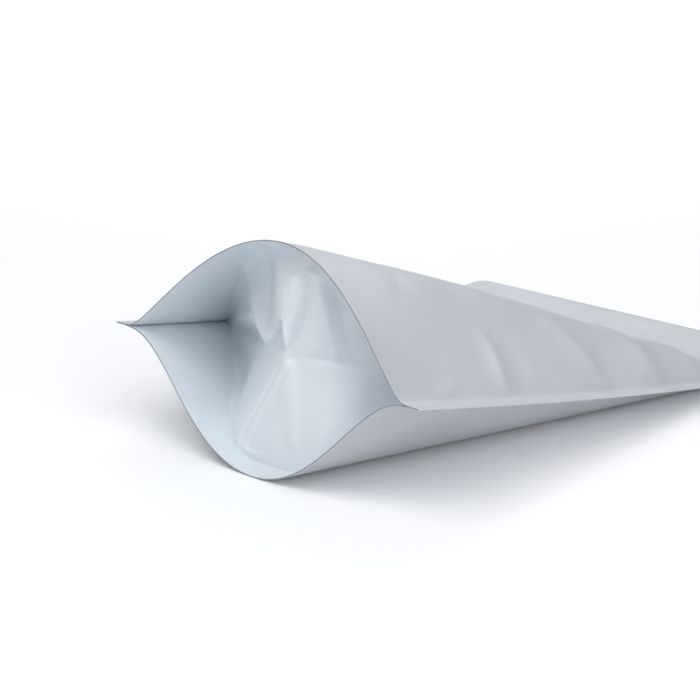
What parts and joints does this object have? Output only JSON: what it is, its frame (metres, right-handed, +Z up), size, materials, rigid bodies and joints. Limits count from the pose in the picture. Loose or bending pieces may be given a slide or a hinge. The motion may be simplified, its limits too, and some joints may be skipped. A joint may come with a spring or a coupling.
{
  "type": "stand-up pouch",
  "caption": "Empty shut foil stand-up pouch lying on its back panel, its bottom gusset spread open in a pointed oval, with side seal fins and a flat top end.",
  "frame": {"origin": "on the surface the pouch lies on, under the middle of its bounding box", "axes": "+X across the pouch, to the right as seen from the open base; +Y from the base to the top end; +Z up, out of the front panel"},
  "size_m": [0.16, 0.23, 0.077],
  "materials": {
    "foil": "satin silver-white laminate film"
  },
  "bodies": {
    "root": {"pouch": "foil"}
  },
  "joints": []
}
